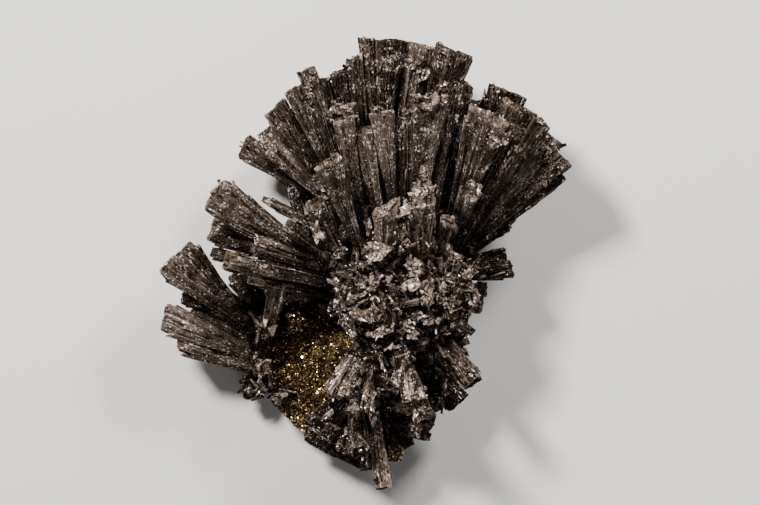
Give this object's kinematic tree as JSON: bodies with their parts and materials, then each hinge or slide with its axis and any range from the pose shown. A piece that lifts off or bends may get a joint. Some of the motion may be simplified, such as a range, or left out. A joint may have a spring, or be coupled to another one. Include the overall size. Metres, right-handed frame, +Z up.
{
  "type": "enargite specimen",
  "caption": "Natural cluster of flared, striated grey-black metallic crystals in radiating fans, with a hollow lined by a brassy crust, resting on its flat cut back.",
  "frame": {"origin": "on the flat cut back, under the middle of the cluster", "axes": "+Z up, out of the cut towards the crystals; +Y the way the tall fans point, along the longest extent; +X towards the right-hand fan"},
  "size_m": [0.0828, 0.0917, 0.0398],
  "materials": {
    "enargite": "dark grey-brown metallic, striated",
    "pyrite": "brassy, finely crystalline and sparkling"
  },
  "bodies": {
    "root": {"enargite_crystals": "enargite", "pyrite_druse": "pyrite", "pyrite_patch": "pyrite"}
  },
  "joints": []
}
